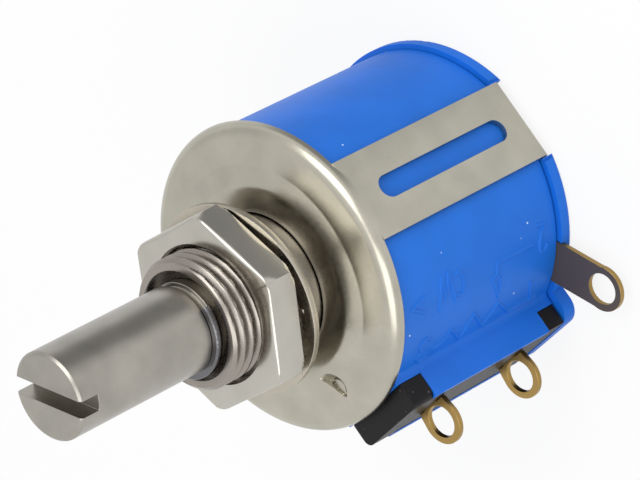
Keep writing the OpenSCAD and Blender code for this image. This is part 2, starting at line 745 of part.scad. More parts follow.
module wiper_carriage() {
    half = carriage_len / 2;
    neck_x = rail_neck_w / 2 + slide_gap;
    head_x = rail_w / 2 + slide_gap;
    head_y0 = rail_top - rail_head_h - slide_gap;
    // prongs stand midway between the turn that they straddle and the next ones
    prong_mid = coil_pitch / 2;
    ear_x = rod_x + rod_r + 0.5;
    ear_top = rod_y + rod_r;
    channel_r = rod_r + slide_gap;
    color([0.92, 0.90, 0.84]) translate([0, 0, coil_z]) difference() {
        union() {
            slab(carriage_w, carriage_foot, carriage_top, -half, half);
            translate([0, carriage_foot + 0.35, -half]) cube([ear_x, ear_top - carriage_foot - 0.35, 2 * half]);
            for (s = [-1, 1])
                slab(prong_w, carriage_top - 0.1, coil_path_r + prong_over,
                     s * prong_mid - prong_t / 2, s * prong_mid + prong_t / 2);
        }
        slab(2 * neck_x, carriage_foot - cut, head_y0 + 0.01, -half - cut, half + cut);
        slab(2 * head_x, head_y0, rail_top + slide_gap, -half - cut, half + cut);
        translate([rod_x, rod_y, -half - cut]) cylinder(r = channel_r, h = carriage_len + 2 * cut, $fn = 32);
        translate([rod_x - channel_r, rod_y, -half - cut]) cube([2 * channel_r, 1, carriage_len + 2 * cut]);
    }
}

// Arched leaf: its crown rides on the coil, its tail presses on the collector rod
module wiper_contact() {
    arch_y = contact_top - arch_r;
    foot_x = sqrt(pow(arch_r, 2) - pow(carriage_top - arch_y, 2));
    drop_x = carriage_w / 2 + 0.1;
    tail_y = rod_y + rod_r + spring_gap;
    color([0.82, 0.68, 0.40]) translate([0, 0, coil_z - contact_w / 2]) linear_extrude(contact_w) union() {
        intersection() {
            translate([0, arch_y]) difference() {
                circle(r = arch_r);
                circle(r = arch_r - contact_t);
            }
            translate([-arch_r, carriage_top]) square([2 * arch_r, arch_r]);
        }
        translate([-foot_x - 0.3, carriage_top]) square([0.4, contact_t]);
        translate([foot_x - 0.1, carriage_top]) square([drop_x + contact_t - foot_x + 0.1, contact_t]);
        translate([drop_x, tail_y]) square([contact_t, carriage_top - tail_y + contact_t]);
        translate([drop_x, tail_y]) square([rod_x + 0.3 - drop_x, contact_t]);
    }
}

module collector_rod() {
    back_z = rotor_back_z + slip_t;
    color([0.80, 0.64, 0.34]) translate([rod_x, rod_y, back_z])
        cylinder(r = rod_r, h = rotor_front_z - 0.3 - seat_gap - back_z, $fn = 32);
}

module collector_ring() {
    color([0.80, 0.64, 0.34]) disc_ring(slip_out_r, slip_in_r, rotor_back_z, slip_t);
}

// Leaf on terminal 2 whose bent tip bears on the slip ring
module collector_brush() {
    foot_z = term_2_z + term_t;
    tip_z = rotor_back_z - seat_gap;
    // the foot lies on the end of the terminal, inside the cap's spigot
    foot_r = bore_r - 0.6;
    bend_r = foot_r - 0.6;
    tip_r = (slip_in_r + slip_out_r) / 2;
    color([0.82, 0.68, 0.40]) rotate([0, 0, term_2_dir]) rotate([90, 0, 0])
        linear_extrude(brush_w, center = true) polygon([
            [foot_r, foot_z], [foot_r, foot_z + contact_t], [bend_r, foot_z + contact_t],
            [tip_r + 0.3, tip_z], [tip_r - 0.3, tip_z], [tip_r - 0.6, tip_z - 0.06],
            [tip_r - 0.6, tip_z - 0.06 - contact_t], [tip_r - 0.3, tip_z - contact_t],
            [tip_r + 0.25, tip_z - contact_t], [bend_r - 0.1, foot_z]]);
}

shaft();
retaining_ring();
bushing();
mounting_nut();
lock_washer();
front_plate();
housing();
rear_cap();
terminal_block();
terminal_1();
terminal_2();
terminal_3();
resistance_coil();
coil_lead_1();
coil_lead_3();
rotor();
thrust_washer();
wiper_carriage();
wiper_contact();
collector_rod();
collector_ring();
collector_brush();
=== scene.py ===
# Ten-turn panel potentiometer: its solids come from the frame. The threaded bushing, the nut, the pressed
# plate, the raised strokes on the housing and the fillets beside its boss are surfaces made here.
from math import atan2, cos, pi, radians, sin, sqrt

import bmesh
import bpy
import numpy as np
from mathutils import Euler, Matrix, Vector


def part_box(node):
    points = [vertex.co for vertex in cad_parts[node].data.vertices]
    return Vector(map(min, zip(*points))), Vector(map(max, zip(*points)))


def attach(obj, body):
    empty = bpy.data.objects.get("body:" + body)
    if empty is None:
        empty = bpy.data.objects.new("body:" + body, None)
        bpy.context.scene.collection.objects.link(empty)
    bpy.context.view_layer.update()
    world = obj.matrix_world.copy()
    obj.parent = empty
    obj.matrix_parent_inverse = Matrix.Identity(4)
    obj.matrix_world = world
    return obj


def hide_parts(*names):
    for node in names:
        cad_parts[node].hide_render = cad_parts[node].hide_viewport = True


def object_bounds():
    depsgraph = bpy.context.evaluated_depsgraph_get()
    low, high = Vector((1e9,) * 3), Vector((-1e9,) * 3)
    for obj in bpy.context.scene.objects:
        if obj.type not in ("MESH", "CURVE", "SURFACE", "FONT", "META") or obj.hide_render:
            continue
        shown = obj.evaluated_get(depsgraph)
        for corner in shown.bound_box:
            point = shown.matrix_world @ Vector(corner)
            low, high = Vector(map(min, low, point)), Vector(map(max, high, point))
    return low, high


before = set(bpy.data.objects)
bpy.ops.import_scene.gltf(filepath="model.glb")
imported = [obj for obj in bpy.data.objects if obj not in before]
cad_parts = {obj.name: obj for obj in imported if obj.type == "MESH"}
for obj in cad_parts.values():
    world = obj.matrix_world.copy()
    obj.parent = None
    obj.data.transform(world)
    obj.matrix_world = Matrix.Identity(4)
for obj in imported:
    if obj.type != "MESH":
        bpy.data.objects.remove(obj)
scene = bpy.context.scene
scene.view_settings.view_transform = "Standard"
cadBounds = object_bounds()

# all sizes below are millimetres unless a name says otherwise
mm = 0.001
bodyR = 10.93  # radius of the housing's round wall
midRound = 0.3  # how far in the middle of a small rounded corner lies, as a share of its size
joining = {"sameSpot": 0.002, "noLength": 0.0001}
rounding = {"sameSpot": 0.001, "flatDeg": 0.2, "sharpDeg": 32, "segments": 3, "normalWeight": 60}


def cornersOf(node):
    # lowest and highest corner of a CAD node, in millimetres
    low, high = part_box(node)
    return low / mm, high / mm


def linkedObject(name, data):
    # a new object that holds the data, in the scene
    item = bpy.data.objects.new(name, data)
    scene.collection.objects.link(item)
    return item


def meshPiece(name, verts, faces, smoothAngle=35):
    # verts in millimetres; joins doubles, points faces outwards, smooths all but edges sharper than the angle
    mesh = bpy.data.meshes.new(name)
    mesh.from_pydata((np.asarray(verts) * mm).tolist(), [], faces)
    bm = bmesh.new()
    bm.from_mesh(mesh)
    bmesh.ops.remove_doubles(bm, verts=bm.verts, dist=joining["sameSpot"] * mm)
    bmesh.ops.dissolve_degenerate(bm, edges=bm.edges, dist=joining["noLength"] * mm)
    bmesh.ops.recalc_face_normals(bm, faces=bm.faces)
    bm.to_mesh(mesh)
    bm.free()
    mesh.shade_smooth()
    mesh.set_sharp_from_angle(angle=radians(smoothAngle))
    return linkedObject(name, mesh)


def gridFaces(rows, cols, closeRows=False, closeCols=True):
    # quads between neighbouring rows and columns of a grid of points, as lists of indices
    r = np.arange(rows if closeRows else rows - 1)[:, None]
    c = np.arange(cols if closeCols else cols - 1)[None, :]
    nextR = (r + 1) % rows
    nextC = (c + 1) % cols
    corners = np.broadcast_arrays(r * cols + c, r * cols + nextC, nextR * cols + nextC, nextR * cols + c)
    return np.stack(corners, axis=-1).reshape(-1, 4).tolist()


def finishedCopy(node, name, edge):
    # copy of a CAD node: doubles joined, flat faces made whole, edges rounded by a bevel of the given width
    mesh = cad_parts[node].data.copy()
    mesh.name = name
    mesh.materials.clear()
    bm = bmesh.new()
    bm.from_mesh(mesh)
    bmesh.ops.remove_doubles(bm, verts=bm.verts, dist=rounding["sameSpot"] * mm)
    bmesh.ops.dissolve_limit(bm, angle_limit=radians(rounding["flatDeg"]), verts=bm.verts, edges=bm.edges)
    bm.to_mesh(mesh)
    bm.free()
    mesh.shade_smooth()
    piece = linkedObject(name, mesh)
    bevel = piece.modifiers.new("edges", "BEVEL")
    bevel.width = edge * mm
    bevel.segments = rounding["segments"]
    bevel.limit_method = "ANGLE"
    bevel.angle_limit = radians(rounding["sharpDeg"])
    bevel.miter_outer = "MITER_ARC"
    weighted = piece.modifiers.new("normals", "WEIGHTED_NORMAL")
    weighted.weight = rounding["normalWeight"]
    return piece


def newMaterial(name):
    material = bpy.data.materials.new(name)
    material.use_nodes = True
    return material, material.node_tree.nodes, material.node_tree.links


def feed(links, socket, value):
    # an output is linked to the socket, and a plain value is set on it
    if isinstance(value, bpy.types.NodeSocket):
        links.new(value, socket)
    else:
        socket.default_value = value


def mathNode(nodes, links, operation, *values):
    # values are numbers or the outputs of other nodes
    node = nodes.new("ShaderNodeMath")
    node.operation = operation
    for socket, value in zip(node.inputs, values):
        feed(links, socket, value)
    return node.outputs["Value"]


def vectorNode(nodes, links, operation, *values):
    # as mathNode, for vectors; a length or a dot product is a number
    node = nodes.new("ShaderNodeVectorMath")
    node.operation = operation
    for socket, value in zip(node.inputs, values):
        feed(links, socket, value)
    return node.outputs["Value" if operation in ("LENGTH", "DOT_PRODUCT") else "Vector"]


def scaledPlace(nodes, links, perMm, stretch=(1, 1, 1)):
    # the piece's own coordinates, with so many features in each millimetre
    place = nodes.new("ShaderNodeTexCoord")
    scaled = nodes.new("ShaderNodeMapping")
    scaled.inputs["Scale"].default_value = [s * perMm / mm for s in stretch]
    links.new(place.outputs["Object"], scaled.inputs["Vector"])
    return scaled.outputs["Vector"]


def noiseOn(nodes, links, perMm, stretch=(1, 1, 1), detail=4.0):
    noise = nodes.new("ShaderNodeTexNoise")
    noise.inputs["Scale"].default_value = 1.0
    noise.inputs["Detail"].default_value = detail
    links.new(scaledPlace(nodes, links, perMm, stretch), noise.inputs["Vector"])
    return noise.outputs["Fac"]


def rampFrom(nodes, links, source, stops):
    # stops are (place, colour) or (place, number) pairs
    ramp = nodes.new("ShaderNodeValToRGB")
    elements = ramp.color_ramp.elements
    for element, (at, value) in zip(elements, stops):
        element.position = at
        element.color = (*value, 1) if isinstance(value, tuple) else (value, value, value, 1)
    links.new(source, ramp.inputs["Fac"])
    return ramp.outputs["Color"]


def mottled(nodes, links, source, colour, darker, lighter):
    # the colour drifts between a darker and a lighter share of itself
    low = tuple(c * darker for c in colour)
    high = tuple(c * lighter for c in colour)
    return rampFrom(nodes, links, source, [(0.3, low), (0.7, high)])


def paintedOver(nodes, links, mask, under, colour):
    # a colour laid over another one where the mask is white
    mix = nodes.new("ShaderNodeMix")
    mix.data_type = "RGBA"
    links.new(mask, mix.inputs["Factor"])
    links.new(under, mix.inputs["A"])
    mix.inputs["B"].default_value = (*colour, 1)
    return mix.outputs["Result"]


def fineSurface(nodes, links, fine, roughness, spread, bumpHeight):
    # one fine noise makes both the gloss uneven and the surface a little rough; heights are millimetres
    shader = nodes["Principled BSDF"]
    gloss = rampFrom(nodes, links, fine, [(0.25, roughness - spread), (0.75, roughness + spread)])
    links.new(gloss, shader.inputs["Roughness"])
    bump = nodes.new("ShaderNodeBump")
    bump.inputs["Strength"].default_value = 1.0
    bump.inputs["Distance"].default_value = bumpHeight * mm
    links.new(fine, bump.inputs["Height"])
    links.new(bump.outputs["Normal"], shader.inputs["Normal"])


# how the tone and the gloss of every metal and every plastic vary
metalFinish = {"driftPerMm": 0.35, "glossSpread": 0.03}
plasticFinish = {"driftPerMm": 0.25, "driftDetail": 3.0, "darker": 0.93, "lighter": 1.06,
                 "grainPerMm": 6.0, "grainBump": 0.004, "glossSpread": 0.05,
                 "speckEdge": 0.04, "dustCore": 0.7}


def platedMetal(name, colour, roughness, grainPerMm=9.0, stretch=(1, 1, 1), grainBump=0.0012, mottle=0.05):
    # metal whose tone drifts slowly, with a fine grain that may be stretched into turning lines
    material, nodes, links = newMaterial(name)
    shader = nodes["Principled BSDF"]
    shader.inputs["Metallic"].default_value = 1.0
    slow = noiseOn(nodes, links, metalFinish["driftPerMm"])
    links.new(mottled(nodes, links, slow, colour, 1 - mottle, 1 + mottle), shader.inputs["Base Color"])
    fine = noiseOn(nodes, links, grainPerMm, stretch)
    fineSurface(nodes, links, fine, roughness, metalFinish["glossSpread"], grainBump)
    return material


def mouldedPlastic(name, colour, roughness, specks=None, sheen=0.4, dust=None):
    # plastic with a faint mould texture and, if given, pale specks of filler and scattered dust
    material, nodes, links = newMaterial(name)
    shader = nodes["Principled BSDF"]
    f = plasticFinish
    slow = noiseOn(nodes, links, f["driftPerMm"], detail=f["driftDetail"])
    tone = mottled(nodes, links, slow, colour, f["darker"], f["lighter"])
    if specks:
        grit = noiseOn(nodes, links, specks["perMm"], detail=2.0)
        above = specks["above"]
        mask = rampFrom(nodes, links, grit, [(above, 0.0), (above + f["speckEdge"], 1.0)])
        tone = paintedOver(nodes, links, mask, tone, specks["colour"])
    if dust:
        # a speck lies where a point scattered through space happens to be near the surface
        scatter = nodes.new("ShaderNodeTexVoronoi")
        scatter.inputs["Scale"].default_value = 1.0
        links.new(scaledPlace(nodes, links, dust["perMm"]), scatter.inputs["Vector"])
        reach = dust["radius"] * dust["perMm"]
        stops = [(reach * f["dustCore"], 1.0), (reach, 0.0)]
        mask = rampFrom(nodes, links, scatter.outputs["Distance"], stops)
        tone = paintedOver(nodes, links, mask, tone, dust["colour"])
    links.new(tone, shader.inputs["Base Color"])
    shader.inputs["Specular IOR Level"].default_value = sheen
    fine = noiseOn(nodes, links, f["grainPerMm"])
    fineSurface(nodes, links, fine, roughness, f["glossSpread"], f["grainBump"])
    return material


turnedSteel = platedMetal("turnedSteel", (0.37, 0.352, 0.315), 0.30, grainPerMm=1.0, stretch=(1.5, 1.5, 22),
                          mottle=0.13)
darkSteel = platedMetal("darkSteel", (0.16, 0.16, 0.17), 0.16)
threadNickel = platedMetal("threadNickel", (0.33, 0.30, 0.27), 0.27, grainPerMm=1.0, stretch=(2, 2, 20))
brightNickel = platedMetal("brightNickel", (0.50, 0.48, 0.43), 0.20)
washerNickel = platedMetal("washerNickel", (0.50, 0.46, 0.39), 0.27, grainPerMm=1.5, grainBump=0.0)
satinNickel = platedMetal("satinNickel", (0.46, 0.44, 0.372), 0.25, mottle=0.08)
bluePlastic = mouldedPlastic("bluePlastic", (0.009, 0.152, 0.66), 0.44, sheen=0.24,
                             dust={"perMm": 0.45, "radius": 0.09, "colour": (0.55, 0.70, 0.90)})
blackPlastic = mouldedPlastic("blackPlastic", (0.007, 0.0065, 0.007), 0.42, sheen=0.17,
                              specks={"perMm": 4.0, "above": 0.70, "colour": (0.20, 0.19, 0.19)})
goldBrass = platedMetal("goldBrass", (0.38, 0.25, 0.085), 0.30)
# painted shade: a dark copy of the brass for terminal 2's flat faces, standing in for what they reflect
shadedBrass = mouldedPlastic("shadedBrass", (0.078, 0.060, 0.050), 0.42, sheen=0.5)
springBrass = platedMetal("springBrass", (0.66, 0.48, 0.20), 0.28)
woundWire = platedMetal("woundWire", (0.45, 0.30, 0.17), 0.35, grainPerMm=12.0, grainBump=0.02)
creamPlastic = mouldedPlastic("creamPlastic", (0.62, 0.58, 0.48), 0.45)
print("materials made")

bushingLow, bushingHigh = cornersOf("bushing")
bushing = {
    "boreR": 3.20, "faceR": 4.46, "mouthR": 3.95, "majorR": 4.755,
    "depth": 0.45, "pitch": 0.79375, "crest": 0.14, "flank": 0.70, "rootPower": 1.15,
    "reliefAt": 0.25, "reliefLength": 0.5, "faceInset": 0.03, "lastGap": 0.01,
    "collarR": 5.15, "collarTop": 1.20, "front": bushingHigh.z,
    "neckR": 4.40, "plateT": 0.50, "sunk": 0.04, "flangeR": bushingHigh.x, "flangeBack": bushingLow.z,
    "edge": 0.06, "around": 192, "rowsPerTurn": 20,
}


def threadRadius(angle, z, b):
    # sixty-degree thread: the radius falls from a flat crest to a rounded root and back once a pitch
    phase = (z / b["pitch"] - angle / (2 * pi)) % 1.0
    wave = np.abs(phase - 0.5) * 2
    rise = np.clip((wave - b["crest"]) / b["flank"], 0, 1)
    return b["majorR"] - b["depth"] * (1 - rise) ** b["rootPower"]


def threadedBushing(b):
    # the threaded length is a grid of angle and height whose radius follows the helix; the rest is turned
    angle = np.linspace(0, 2 * pi, b["around"], endpoint=False)
    low, high, e = b["collarTop"], b["front"], b["edge"]
    rootR = b["majorR"] - b["depth"]
    z = np.arange(low + b["reliefAt"], high, b["pitch"] / b["rowsPerTurn"])
    z = np.append(z[z < high - b["lastGap"]], high)
    height = np.repeat(z[:, None], angle.size, axis=1)
    # relief at the foot of the thread, and a bevel at the front
    relief = np.clip((height - low - b["reliefAt"]) / b["reliefLength"], 0, 1)
    radius = rootR + (threadRadius(angle[None, :], height, b) - rootR) * relief
    radius = np.minimum(radius, b["faceR"] + high - height)
    # the turned parts as (radius, height) points: the flange, neck and collar, then the face, mouth and bore
    before = [(b["boreR"], b["flangeBack"]), (b["flangeR"] - e, b["flangeBack"]),
              (b["flangeR"], b["flangeBack"] + e), (b["flangeR"], -b["plateT"]), (b["neckR"], -b["plateT"]),
              (b["neckR"], -b["sunk"]), (b["collarR"], -b["sunk"]), (b["collarR"], low - e),
              (b["collarR"] - e * midRound, low - e * midRound), (b["collarR"] - e, low), (rootR, low)]
    after = [(b["faceR"] - b["faceInset"], high), (b["mouthR"] + e, high),
             (b["mouthR"] + e * midRound, high - e * midRound), (b["mouthR"] - e * 0.7, high - e * 1.5),
             (b["boreR"], high - (b["mouthR"] - b["boreR"]))]
    before, after = np.array(before), np.array(after)
    around = np.ones(angle.size)
    rings = np.vstack([before[:, :1] * around, radius, after[:, :1] * around])
    levels = np.vstack([before[:, 1:] * around, height, after[:, 1:] * around])
    points = np.stack([rings * np.cos(angle), rings * np.sin(angle), levels], axis=-1)
    faces = gridFaces(len(rings), angle.size, closeRows=True)
    return meshPiece("bushing_thread", points.reshape(-1, 3), faces, smoothAngle=40)


bushingPiece = threadedBushing(bushing)
bushingPiece.data.materials.append(threadNickel)
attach(bushingPiece, "frame")
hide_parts("bushing")
print("bushing made")

nutLow, nutHigh = cornersOf("mounting_nut")
nut = {
    "acrossFlats": 12.70, "back": nutLow.z, "front": nutHigh.z, "flatDir": 18.7, "boreR": 4.80, "sink": 0.30,
    "round": 0.34, "roundMean": 0.85, "roundSwell": 0.15, "roundPoints": 7, "cornerR": 0.12,
    "cutR": 7.02, "cutSlope": 0.33, "backR": 7.04, "backSlope": 1.0,
    "along": 22, "arc": 7, "frontRows": (0.45, 1.3, 7), "backRows": (0.4, 0.0, 7),
}


def hexagonPath(n):
    # points round a hexagon with small rounded corners, and how far each is along its flat: 0 middle, 1 corner
    half = n["acrossFlats"] / 2
    side = 2 * (half - n["cornerR"]) * np.tan(pi / 6)
    t = np.linspace(-0.5, 0.5, n["along"])
    turn = np.linspace(0, pi / 3, n["arc"] + 2)[1:-1]
    flat = np.stack([np.full(t.size, half), t * side], axis=1)
    corner = np.array([half - n["cornerR"], side / 2])
    bend = corner + n["cornerR"] * np.stack([np.cos(turn), np.sin(turn)], axis=1)
    sixth = np.vstack([flat, bend])
    along = np.concatenate([np.abs(t) * 2, np.ones(turn.size)])
    angles = radians(n["flatDir"]) + np.arange(6) * pi / 3
    c, s = np.cos(angles)[:, None], np.sin(angles)[:, None]
    x = c * sixth[:, 0] - s * sixth[:, 1]
    y = s * sixth[:, 0] + c * sixth[:, 1]
    return np.stack([x.ravel(), y.ravel()], axis=1), np.tile(along, 6)


def platedNut(n):
    # rows run from the back of the bore up to the front face, over the rounded edge and down the flats
    path, along = hexagonPath(n)
    half = n["acrossFlats"] / 2
    unit = path / np.linalg.norm(path, axis=1)[:, None]
    bore = [(n["boreR"] + n["sink"], n["back"]), (n["boreR"], n["back"] + n["sink"]),
            (n["boreR"], n["front"] - n["sink"]), (n["boreR"] + n["sink"], n["front"])]
    rows = [np.column_stack([unit * r, np.full(len(unit), z)]) for r, z in bore]
    # the edge is a quarter round whose radius swells and thins a little along each flat
    size = n["round"] * (n["roundMean"] + n["roundSwell"] * np.cos(along * pi))
    for a in np.linspace(0, pi / 2, n["roundPoints"]):
        scale = 1 - size * (1 - np.sin(a)) / half
        rows.append(np.column_stack([path * scale[:, None], n["front"] - size * (1 - np.cos(a))]))
    frontFrom, frontTo, frontCount = n["frontRows"]
    backFrom, backTo, backCount = n["backRows"]
    levels = np.concatenate([n["front"] - np.linspace(frontFrom, frontTo, frontCount),
                             n["back"] + np.linspace(backFrom, backTo, backCount)])
    rows += [np.column_stack([path, np.full(len(path), z)]) for z in levels]
    points = np.array(rows)
    # cones at the front and the back cut the corners off
    limit = np.minimum(n["cutR"] + (n["front"] - points[..., 2]) * n["cutSlope"],
                       n["backR"] + (points[..., 2] - n["back"]) * n["backSlope"])
    r = np.linalg.norm(points[..., :2], axis=2)
    points[..., :2] *= np.minimum(1, limit / r)[..., None]
    faces = gridFaces(len(rows), len(path), closeRows=True)
    return meshPiece("nut_plated", points.reshape(-1, 3), faces, smoothAngle=25)


nutPiece = platedNut(nut)
nutPiece.data.materials.append(brightNickel)
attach(nutPiece, "nut")
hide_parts("mounting_nut")
print("nut made")

plateLow, plateHigh = cornersOf("front_plate")
plate = {
    "holeR": 5.24, "backZ": -0.50, "backStepR": (6.7, 6.8), "webBackZ": -0.62,
    "rimR": plateHigh.x, "rimWide": 1.00, "rimDeep": 0.90, "rimTopR": 10.46, "rimPoints": 16,
    "innerR": 10.84, "innerBendR": 10.29, "innerBendZ": -1.17, "innerPoints": 6, "skirt": -1.50, "edge": 0.06,
    "slopeAt": (5.0, 6.85, 7.35, 8.50, 8.62, 10.46), "slopeDeg": (0, 0, 14, 14, 6, 6), "slopeSamples": 400,
    "coarseStep": 0.3, "shoulderR": 7.0, "shoulderStep": 0.06, "webR": 10.0, "webStep": 0.08,
    "dimple": (-0.735, -8.398), "dimpleSide": 18.0, "dimpleBall": 1.694, "dimpleDepth": 0.45,
    "dimpleFloor": -0.60, "dimpleFromDeg": -109, "dimpleToDeg": -81, "dimpleStepDeg": 0.35, "stepDeg": 1.5,
    "strapInsideX": 5.0, "strapHalf": 3.105, "strapTop": -1.44, "strapEdge": 0.05,
}


def plateTop(r, q):
    # height of the pressed face: the slope, given at a few radii, summed outwards from the hole
    fine = np.linspace(q["slopeAt"][0], q["rimTopR"], q["slopeSamples"])
    fall = np.tan(np.radians(np.interp(fine, q["slopeAt"], q["slopeDeg"])))
    drop = np.concatenate([[0], np.cumsum((fall[1:] + fall[:-1]) / 2 * np.diff(fine))])
    return -np.interp(r, fine, drop)


def plateSection(q):
    # radii and heights round the plate's section, and how many of them are on the face
    e = q["edge"]
    radii = np.concatenate([[q["holeR"], q["holeR"] + e * midRound],
                            np.arange(q["holeR"] + e, q["shoulderR"], q["coarseStep"]),
                            np.arange(q["shoulderR"], q["webR"], q["shoulderStep"]),
                            np.arange(q["webR"], q["rimTopR"], q["webStep"])])
    top = plateTop(radii, q)
    top[:2] -= (e, e * midRound)
    # the rim is a quarter of an ellipse that takes up the web's slope
    bendR = q["rimR"] - q["rimWide"]
    first = np.arcsin((q["rimTopR"] - bendR) / q["rimWide"])
    bendZ = plateTop(q["rimTopR"], q) - q["rimDeep"] * cos(first)
    a = np.linspace(first, pi / 2, q["rimPoints"])
    rim = np.column_stack([bendR + q["rimWide"] * np.sin(a), bendZ + q["rimDeep"] * np.cos(a)])
    skirt = [(q["rimR"], q["skirt"] + e), (q["rimR"] - e * midRound, q["skirt"] + e * midRound),
             (q["rimR"] - e, q["skirt"]), (q["innerR"], q["skirt"])]
    # the inside of the rim is a quarter of a circle, and the sheet's back leads from it to the hole
    a = np.linspace(0, pi / 2, q["innerPoints"])
    bend = q["innerR"] - q["innerBendR"]
    inside = np.column_stack([q["innerBendR"] + bend * np.cos(a), q["innerBendZ"] + bend * np.sin(a)])
    stepIn, stepOut = q["backStepR"]
    back = [(stepOut, q["webBackZ"]), (stepIn, q["backZ"]), (q["holeR"], q["backZ"])]
    section = np.vstack([np.column_stack([radii, top]), rim, skirt, inside, back])
    return section[:, 0], section[:, 1], radii.size


def pressedPlate(q):
    # the section is turned round the axis, with finer steps where the half-sheared dimple is
    sectionR, sectionZ, faceCount = plateSection(q)
    angle = np.radians(np.concatenate([np.arange(q["dimpleToDeg"], 360 + q["dimpleFromDeg"], q["stepDeg"]),
                                       np.arange(q["dimpleFromDeg"], q["dimpleToDeg"], q["dimpleStepDeg"])]))
    x = sectionR[:, None] * np.cos(angle)
    y = sectionR[:, None] * np.sin(angle)
    z = np.repeat(sectionZ[:, None], angle.size, axis=1)
    # the dimple is half of a ball pressed into the face, cut off straight on one side
    dx = x - q["dimple"][0]
    dy = y - q["dimple"][1]
    bowl = q["dimpleBall"] - q["dimpleDepth"] - np.sqrt((q["dimpleBall"] ** 2 - dx ** 2 - dy ** 2).clip(0))
    turn = radians(q["dimpleSide"])
    face = np.arange(sectionR.size)[:, None] < faceCount
    pressed = face & (dx * cos(turn) + dy * sin(turn) > 0) & (bowl < 0)
    z = np.where(pressed, np.maximum(z + bowl, q["dimpleFloor"]), z)
    points = np.stack([x, y, z], axis=-1)
    faces = gridFaces(sectionR.size, angle.size, closeRows=True)
    return meshPiece("plate_pressed", points.reshape(-1, 3), faces, smoothAngle=38)


def strapBelow(q, side):
    # one strap of the CAD plate, cut off just above the skirt's foot, its cuts closed and its edges rounded
    name = "plate_strap_right" if side > 0 else "plate_strap_left"
    piece = finishedCopy("front_plate", name, q["strapEdge"])
    bm = bmesh.new()
    bm.from_mesh(piece.data)
    cuts = [((0, 0, q["strapTop"]), (0, 0, 1)), ((side * q["strapInsideX"], 0, 0), (-side, 0, 0)),
            ((0, q["strapHalf"], 0), (0, 1, 0)), ((0, -q["strapHalf"], 0), (0, -1, 0))]
    for place, normal in cuts:
        whole = list(bm.verts) + list(bm.edges) + list(bm.faces)
        bmesh.ops.bisect_plane(bm, geom=whole, plane_co=Vector(place) * mm, plane_no=normal, clear_outer=True)
        bmesh.ops.holes_fill(bm, edges=[e for e in bm.edges if e.is_boundary])
    bmesh.ops.recalc_face_normals(bm, faces=bm.faces)
    bm.to_mesh(piece.data)
    bm.free()
    piece.data.shade_smooth()
    return piece


for platePiece in (pressedPlate(plate), strapBelow(plate, 1), strapBelow(plate, -1)):
    platePiece.data.materials.append(satinNickel)
    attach(platePiece, "frame")
    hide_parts("front_plate")
print("plate made")

# CAD nodes that only get rounded edges and a finish; "faces" is a darker copy for the flat faces, painted
# shade standing in for what they reflect
finished = {
    "shaft": {"name": "shaft_turned", "edge": 0.05, "material": turnedSteel,
              "body": "shaft", "slot": "shaft_steel"},
    "retaining_ring": {"name": "ring_polished", "edge": 0.06, "material": darkSteel,
                       "body": "shaft", "slot": "ring_steel"},
    "lock_washer": {"name": "washer_stamped", "edge": 0.08, "material": washerNickel,
                    "body": "washer", "slot": "washer_steel"},
    "housing": {"name": "housing_moulded", "edge": 0.07, "material": bluePlastic,
                "body": "frame", "slot": "blue_plastic"},
    "rear_cap": {"name": "cap_moulded", "edge": 0.10, "material": bluePlastic,
                 "body": "frame", "slot": "blue_plastic"},
    "terminal_block": {"name": "block_moulded", "edge": 0.14, "material": blackPlastic,
                       "body": "frame", "slot": "black_plastic"},
    "terminal_1": {"name": "terminal_1_stamped", "edge": 0.05, "material": goldBrass,
                   "body": "frame", "slot": "terminal_brass"},
    "terminal_2": {"name": "terminal_2_stamped", "edge": 0.05, "material": goldBrass,
                   "body": "frame", "slot": "terminal_brass", "faces": shadedBrass},
    "terminal_3": {"name": "terminal_3_stamped", "edge": 0.05, "material": goldBrass,
                   "body": "frame", "slot": "terminal_brass"},
}


def shadeFlatFaces(mesh, material):
    # faces that look straight up or down get the second material, a painted shade for what they reflect; the
    # stamped edges keep the first
    mesh.materials.append(material)
    normals = np.empty(len(mesh.polygons) * 3, dtype=np.float32)
    mesh.polygons.foreach_get("normal", normals)
    flat = np.abs(normals.reshape(-1, 3)[:, 2]) > 0.9
    mesh.polygons.foreach_set("material_index", flat.astype(np.int32))


for node, finish in finished.items():
    piece = finishedCopy(node, finish["name"], finish["edge"])
    piece.data.materials.append(finish["material"])
    if "faces" in finish:
        shadeFlatFaces(piece.data, finish["faces"])
    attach(piece, finish["body"])
    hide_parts(node)
print("CAD pieces rounded")

# pieces inside the housing keep their CAD shape
inner = {
    "resistance_coil": woundWire, "coil_lead_1": springBrass, "coil_lead_3": springBrass,
    "rotor": creamPlastic, "thrust_washer": creamPlastic, "wiper_carriage": creamPlastic,
    "wiper_contact": springBrass, "collector_rod": springBrass, "collector_ring": springBrass,
    "collector_brush": springBrass,
}
for node, material in inner.items():
    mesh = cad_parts[node].data
    mesh.materials.clear()
    mesh.materials.append(material)
print("inner pieces finished")

marks = {"halfWidth": 0.17, "height": 0.14, "sunk": 0.03, "step": 0.07, "depth": 0.15,
         "low": -17.7, "high": -2.4, "arcFrom": -13.7, "arcTo": -6.7}
